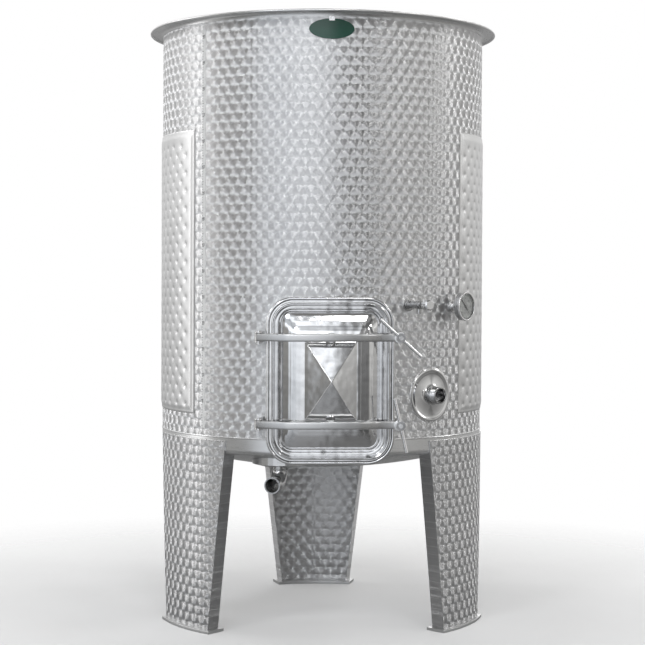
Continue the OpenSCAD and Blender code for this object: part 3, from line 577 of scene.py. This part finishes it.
for label, bar_z in zip(("upper", "lower"), BAR_Z):
    body = sweep(split_bends(BAR_PATH), oval(BAR_H / 2, BAR_T / 2, 5.0, 44))
    prongs = [sweep([(0.180, 0.556), (PRONG_END, 0.556)], oval(0.0022, BAR_T / 2 - 0.0004, 3.0), side * 0.0087)
              for side in (1, -1)]
    r0, r1, h = 0.0051, 0.0128, BAR_H / 2
    ring = [(r0, -h), (r1 - 0.001, -h), (r1, -h + 0.001), (r1, h - 0.001), (r1 - 0.001, h), (r0, h)]
    v, f = lathe(ring, 48)
    eye = ([(p[0] + EYE_X, p[2], EYE_Z + p[1]) for p in v], f)
    verts, faces = join(body, eye, *prongs)
    piece(label + "_clamp_bar", [(p[0], p[1] + bar_z, p[2]) for p in verts], faces, BAR, "polished_steel", "door",
          IN_LID, sharp=24, replaces=[label + "_bar"])

# ------------------------------------------------------------------ threads and welds
def thread(length, radius, pitch=0.0023, depth=0.0011, steps=40):
    """A helical ridge round local Z, from 0 to length."""
    turns = length / pitch - 1
    count = int(turns * steps)
    verts = []
    for k in range(count + 1):
        t = 2 * math.pi * k / steps
        z = pitch * k / steps
        rise = depth * min(1, k / steps, (count - k) / steps)
        foot = radius - 0.0002
        for dz, r in ((0, foot), (pitch * 0.5, foot + rise), (pitch * 0.98, foot)):
            verts.append((r * math.cos(t), r * math.sin(t), z + dz))
    faces = [(k * 3 + j, k * 3 + j + 1, k * 3 + j + 4, k * 3 + j + 3) for k in range(count) for j in range(2)]
    return verts, faces


DRAIN_A, RACKING_A, NIPPLE_A, SAMPLE_A, GAUGE_A = -19.3, 37.4, 152, 27.4, 48.3
RACKING_Z, SAMPLE_Z, GAUGE_Z = SEAM + 0.122, SEAM + 0.388, SEAM + 0.382
NIPPLE_ZS = (SEAM + 0.120, SEAM + 0.842)
OUTLET_R, NIPPLE_R = 0.0239, 0.0132                            # of the G 1 1/2 and G 3/4 threads
DRAIN_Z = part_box("drain_elbow")[0].z + OUTLET_R


def threaded(name, angle, z, start, length, radius, material, slot):
    """A thread on a spout that points outward, from its start distance on."""
    v, f = thread(length, radius)
    piece(name, [(p[0], p[1], p[2] + start) for p in v], f, material, slot, "tank", outward(angle, z), sharp=20)


threaded("drain_thread", DRAIN_A, DRAIN_Z, 0.473, 0.022, OUTLET_R, FITTING, "turned_steel")
threaded("racking_thread", RACKING_A, RACKING_Z, 0.5145, 0.024, OUTLET_R, FITTING, "polished_steel")


def racking_dish():
    """The welded-in plate round the racking outlet: a raised ring and a shallow hollow, on the tank's curve."""
    profile = [(0.0790, 0.0002), (0.0788, 0.0022), (0.0778, 0.0030), (0.0715, 0.0030), (0.0700, 0.0026),
               (0.0675, 0.0014), (0.0600, 0.0009), (0.0480, 0.0011), (0.0350, 0.0022), (0.0300, 0.0034),
               (0.0268, 0.0052), (0.0241, 0.0064)]
    rings = []
    for r, rise in profile:
        ring = []
        for k in range(120):
            x, y = r * math.cos(2 * math.pi * k / 120), r * math.sin(2 * math.pi * k / 120)
            ring.append((x, y, math.sqrt(TANK_R ** 2 - x * x) + rise))
        rings.append(ring)
    verts, faces = loft(rings)
    piece("racking_dish", verts, faces, POLISHED, "polished_steel", "tank", outward(RACKING_A, RACKING_Z),
          sharp=40, replaces=["racking_plate"])


racking_dish()
for label, z in zip(("inlet", "outlet"), NIPPLE_ZS):
    threaded(label + "_thread", NIPPLE_A, z, 0.530, 0.018, NIPPLE_R, TURNED, "turned_steel")


def bead(path, radius, seed, closed=False):
    """A slightly uneven weld bead along a path of points."""
    rng = np.random.default_rng(seed)
    rings, n = [], len(path)
    for i, p in enumerate(path):
        ahead = path[(i + 1) % n if closed else min(i + 1, n - 1)]
        behind = path[i - 1 if closed else max(i - 1, 0)]
        along = (ahead - behind).normalized()
        side = along.cross(Vector((0.13, 0.31, 0.94))).normalized()
        other = along.cross(side)
        r = radius * (1 + 0.14 * math.sin(i * 2.1) + 0.10 * rng.uniform(-1, 1))
        rings.append([p + (side * math.cos(t) + other * math.sin(t)) * r
                      for t in (2 * math.pi * k / 8 for k in range(8))])
    verts, faces = loft(rings)
    if closed:
        last = (n - 1) * 8
        faces += [(last + k, last + (k + 1) % 8, (k + 1) % 8, k) for k in range(8)]
    return verts, faces


def ring_bead(angle, z, out, radius, size, seed, steps=72):
    """A closed bead round a fitting, on a wall with a radius of out."""
    place = outward(angle, z)
    path = []
    for i in range(steps):
        t = 2 * math.pi * i / steps
        x, y = radius * math.cos(t), radius * math.sin(t)
        path.append(place @ Vector((x, y, math.sqrt(out * out - x * x))))
    return bead(path, size, seed, closed=True)


LEG_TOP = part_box("left_leg")[1].z
LEG_ANGLES = (-58.5, 58.5, 180)
welds = [
    ring_bead(RACKING_A, RACKING_Z, 0.5003, 0.0795, 0.0016, 1, steps=160),
    ring_bead(SAMPLE_A, SAMPLE_Z, 0.5012, 0.0185, 0.0012, 2),
    ring_bead(GAUGE_A, GAUGE_Z, 0.5012, 0.0175, 0.0012, 3),
    ring_bead(NIPPLE_A, NIPPLE_ZS[0], 0.5052, 0.0172, 0.0012, 4),
    ring_bead(NIPPLE_A, NIPPLE_ZS[1], 0.5052, 0.0172, 0.0012, 5),
]
for k, a in enumerate(LEG_ANGLES):
    arc = [polar(a + 22.0 * (i / 60 - 1), 0.5022, LEG_TOP + 0.0004) for i in range(121)]
    welds.append(bead(arc, 0.0019, 10 + k))
neck_at = polar(DRAIN_A, 0.427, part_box("drain_sump")[0].z + 0.011)
neck = [neck_at + polar(DRAIN_A + 2.5 * i, 0.0241, 0) for i in range(-32, 33)]
welds.append(bead(neck, 0.0015, 20))
piece("weld_beads", *join(*welds), TURNED, "turned_steel", sharp=60)


# ------------------------------------------------------------------ volume scale
SCALE_A, SCALE_STEP = -46.9, 0.0764


def digits(text, size):
    """Flat triangles of a number, in metres, with its left foot at the origin."""
    curve = bpy.data.curves.new("digits", "FONT")
    curve.body, curve.size = text, size
    curve.resolution_u = 3
    temp = bpy.data.objects.new("digits", curve)
    bpy.context.scene.collection.objects.link(temp)
    flat = temp.to_mesh()
    verts = [tuple(v.co) for v in flat.vertices]
    faces = [tuple(p.vertices) for p in flat.polygons]
    temp.to_mesh_clear()
    bpy.data.objects.remove(temp)
    bpy.data.curves.remove(curve)
    return verts, faces


def bar_mark(x0, y0, x1, y1):
    """A flat rectangle."""
    return [(x0, y0, 0), (x1, y0, 0), (x1, y1, 0), (x0, y1, 0)], [(0, 1, 2, 3)]


def scale_marks():
    """Ticks up the strip, and a number at every tenth one."""
    lo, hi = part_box("volume_scale")
    parts = []
    count = int((hi.z - lo.z - 0.02) / (SCALE_STEP / 10))
    for i in range(1, count + 1):
        y = SCALE_STEP / 10 * i
        length = 0.0085 if i % 10 == 0 else 0.0062 if i % 5 == 0 else 0.0042
        parts.append(bar_mark(-0.0072, y - 0.0006, -0.0072 + length, y + 0.0006))
        if i % 10 == 0:
            v, f = digits(str(i * 6), 0.0125)
            parts.append(([(p[0] * 0.62 - 0.0068, p[1] + y + 0.0016, 0) for p in v], f))
    verts, faces = join(*parts)
    radius = TANK_R + 0.0008
    verts = [polar(SCALE_A + math.degrees(x / radius), radius, lo.z + y) for x, y, _ in verts]
    piece("scale_marks", verts, faces, INK, "pointer_black")


scale_marks()


# ------------------------------------------------------------------ thermometer dial
def dial_marks():
    """Ticks over 270 degrees, a number at every tenth one, and a thin arc outside them."""
    parts = []
    for i in range(61):
        t = math.radians(225 - 270 * i / 60)
        inner = 0.0300 if i % 10 == 0 else 0.0322 if i % 5 == 0 else 0.0336
        c, s = math.cos(t), math.sin(t)
        half = 0.0004 if i % 10 == 0 else 0.00025
        parts.append(([(c * r - s * w, s * r + c * w, 0) for r, w in
                       ((inner, -half), (0.0362, -half), (0.0362, half), (inner, half))], [(0, 1, 2, 3)]))
        if i % 10 == 0:
            v, f = digits(str(i - 10), 0.0062)
            mid = sum(p[0] for p in v) / len(v)
            parts.append(([(p[0] - mid + c * 0.0245, p[1] - 0.0022 + s * 0.0245, 0) for p in v], f))
    ring = [(r * math.cos(math.radians(225 - 4.5 * i)), r * math.sin(math.radians(225 - 4.5 * i)), 0)
            for i in range(61) for r in (0.0362, 0.0366)]
    parts.append((ring, [(2 * i, 2 * i + 1, 2 * i + 3, 2 * i + 2) for i in range(60)]))
    verts, faces = join(*parts)
    dial_face = 0.54525
    piece("dial_marks", [(x, y, dial_face) for x, y, _ in verts], faces, INK, "pointer_black", "tank",
          outward(GAUGE_A, GAUGE_Z))


dial_marks()

# ------------------------------------------------------------------ rounded edges on CAD nodes
for names, width in (
    (("left_leg", "right_leg", "rear_leg"), 0.0016),
    (("left_foot", "right_foot", "rear_foot"), 0.0012),
    (("upper_handle_rods", "lower_handle_rods"), 0.0012),
    (("upper_handle_hub", "lower_handle_hub"), 0.0012),
    (("upper_washer", "lower_washer"), 0.0006),
    (("upper_swing_bolt", "lower_swing_bolt"), 0.0010),
    (("upper_studs", "lower_studs"), 0.0008),
    (("upper_hinge_bracket", "lower_hinge_bracket", "upper_clamp_lug", "lower_clamp_lug"), 0.0008),
    (("sample_knob", "sample_body", "sample_boss"), 0.0010),
    (("thermometer_bezel", "thermometer_case", "thermometer_nut"), 0.0008),
    (("racking_nozzle", "racking_plate", "drain_elbow"), 0.0007),
    (("badge_plate", "badge_clip"), 0.0004),
):
    for name in names:
        soften(name, width)

# ------------------------------------------------------------------ camera, as the photograph's
CAM_AZIMUTH, CAM_DISTANCE, CAM_HEIGHT = -2.81, 5.265, 1.0367
CAM_YAW, CAM_PITCH, CAM_ROLL = -0.033, 1.374, 0.266
CAM_FOCAL = 1664.5 / 645 * 36

aim = math.radians(CAM_AZIMUTH + CAM_YAW)
pitch = math.radians(CAM_PITCH)
forward = Vector((-math.sin(aim) * math.cos(pitch), math.cos(aim) * math.cos(pitch), -math.sin(pitch)))
right = forward.cross(Vector((0, 0, 1))).normalized()
up = right.cross(forward)
roll = math.radians(CAM_ROLL)
right, up = (right * math.cos(roll) + up * math.sin(roll), up * math.cos(roll) - right * math.sin(roll))
camera = bpy.data.objects.new("camera", bpy.data.cameras.new("camera"))
bpy.context.scene.collection.objects.link(camera)
camera.matrix_world = Matrix((
    (right.x, up.x, -forward.x, 0), (right.y, up.y, -forward.y, 0), (right.z, up.z, -forward.z, 0), (0, 0, 0, 1)))
camera.location = polar(CAM_AZIMUTH, CAM_DISTANCE, CAM_HEIGHT)
camera.data.lens = CAM_FOCAL
camera.data.sensor_width = 36
camera.data.clip_start, camera.data.clip_end = 0.05, 200
bpy.context.scene.camera = camera

# ------------------------------------------------------------------ studio
world = bpy.data.worlds.new("studio")
bpy.context.scene.world = world
world.use_nodes = True
w = Nodes(world.node_tree)
for n in list(w.tree.nodes):
    w.tree.nodes.remove(n)

# brightness of the studio round the object: (degrees from the front, colour)
STUDIO = [
    (-180, (0.9, 0.9, 0.9)), (-112, (0.9, 0.9, 0.9)), (-106, (3.2, 3.2, 3.2)), (-94, (3.2, 3.2, 3.2)),
    (-90, (0.46, 0.455, 0.44)), (-78, (0.46, 0.455, 0.44)), (-76, (1.1, 1.1, 1.1)), (-74, (0.46, 0.455, 0.44)),
    (-52, (0.46, 0.455, 0.44)), (-47, (1.5, 1.57, 1.66)), (-31, (1.4, 1.46, 1.54)), (-29, (0.8, 0.84, 0.9)),
    (-27, (1.4, 1.46, 1.54)), (-4, (1.7, 1.75, 1.82)), (3, (1.7, 1.75, 1.82)), (6, (0.30, 0.30, 0.30)),
    (15, (0.30, 0.30, 0.30)), (17, (0.95, 0.95, 0.95)), (19, (0.30, 0.30, 0.30)), (32, (0.34, 0.34, 0.34)),
    (36, (0.14, 0.14, 0.14)), (42, (0.72, 0.715, 0.70)), (54, (0.72, 0.715, 0.70)), (56, (1.3, 1.3, 1.28)),
    (58, (0.72, 0.715, 0.70)), (78, (0.74, 0.735, 0.72)), (81, (0.36, 0.36, 0.35)), (85, (0.78, 0.775, 0.76)),
    (110, (0.80, 0.795, 0.78)), (150, (0.9, 0.9, 0.9)), (180, (0.9, 0.9, 0.9)),
]
# lamps: (degrees from the front, degrees up, half its width in degrees, brightness)
LAMPS = [
    (-128, 24, 5, 5), (-70, 30, 4, 8), (-38, 42, 5, 10), (-14, 22, 4, 9), (12, 48, 5, 10), (38, 20, 4, 9),
    (66, 40, 5, 8), (98, 16, 5, 6), (140, 38, 5, 4), (170, 25, 6, 4),
]
# brightness by height: (0 = straight down, 0.5 = level, 1 = straight up, factor)
LEVELS = [
    (0.0, 0.28), (0.35, 0.30), (0.42, 0.38), (0.46, 0.50), (0.50, 0.74), (0.58, 1.0), (0.65, 0.95), (0.68, 0.45),
    (0.775, 0.42), (0.79, 0.85), (0.83, 0.85), (0.85, 0.45), (1.0, 0.25),
]
ray = w.node("ShaderNodeTexCoord").outputs["Generated"]
ray_x, ray_y, ray_z = w.split(ray)
azimuth = w.math("ARCTAN2", ray_x, w.math("MULTIPLY", ray_y, -1))
around = w.math("ADD", w.math("DIVIDE", azimuth, 2 * math.pi), 0.5)
height = w.math("ADD", w.math("MULTIPLY", ray_z, 0.5), 0.5)
walls = w.mix(1.0, w.ramp(around, [(degrees / 360 + 0.5, colour) for degrees, colour in STUDIO]),
              w.ramp(height, [(place, (value,) * 3) for place, value in LEVELS]), "MULTIPLY")
light = w.mix(w.span(height, 0.86, 0.92, 0.0, 1.0, "SMOOTHSTEP"), walls, (0.22, 0.22, 0.215))
for azimuth_deg, up_deg, half_width, power in LAMPS:
    a, e = math.radians(azimuth_deg), math.radians(up_deg)
    toward = w.vector("DOT_PRODUCT", ray, (math.sin(a) * math.cos(e), -math.cos(a) * math.cos(e), math.sin(e)))
    rim, core = math.cos(math.radians(half_width * 1.3)), math.cos(math.radians(half_width * 0.7))
    light = w.vector("ADD", light, w.span(toward, rim, core, 0.0, power, "SMOOTHSTEP"))


def background(colour, strength):
    n = w.node("ShaderNodeBackground")
    w.feed(n.inputs[0], colour)
    w.feed(n.inputs[1], strength)
    return n.outputs[0]


# the camera sees plain white, and everything else sees the studio
pick = w.node("ShaderNodeMixShader")
for socket, value in zip(pick.inputs, (w.node("ShaderNodeLightPath").outputs["Is Camera Ray"],
                                       background(light, 1.06), background((1, 1, 1), 1.0))):
    w.feed(socket, value)
w.feed(w.node("ShaderNodeOutputWorld").inputs[0], pick.outputs[0])

# ------------------------------------------------------------------ floor
floor_mesh = bpy.data.meshes.new("floor")
bm = bmesh.new()
bmesh.ops.create_circle(bm, cap_ends=True, segments=96, radius=4.0)
bm.to_mesh(floor_mesh)
bm.free()
floor = bpy.data.objects.new("floor", floor_mesh)
bpy.context.scene.collection.objects.link(floor)
paint = Shade("floor_white", Roughness=0.8)
# pale to the eye; the steel mirrors it darker, as it would the hall's own floor
pale = paint.math("MULTIPLY", paint.node("ShaderNodeLightPath").outputs["Is Camera Ray"],
                  paint.span(paint.noise(paint.coord, 3.0), 0.3, 0.7, 0.97, 1.0))
paint.set("Base Color", paint.mix(pale, (0.28, 0.28, 0.28), (0.92, 0.92, 0.92)))
paint.set("Alpha", paint.span(paint.vector("LENGTH", paint.coord), 0.75, 2.2, 0.85, 0.0))
floor_mesh.materials.append(paint.mat)

bpy.context.scene.view_settings.view_transform = "Standard"
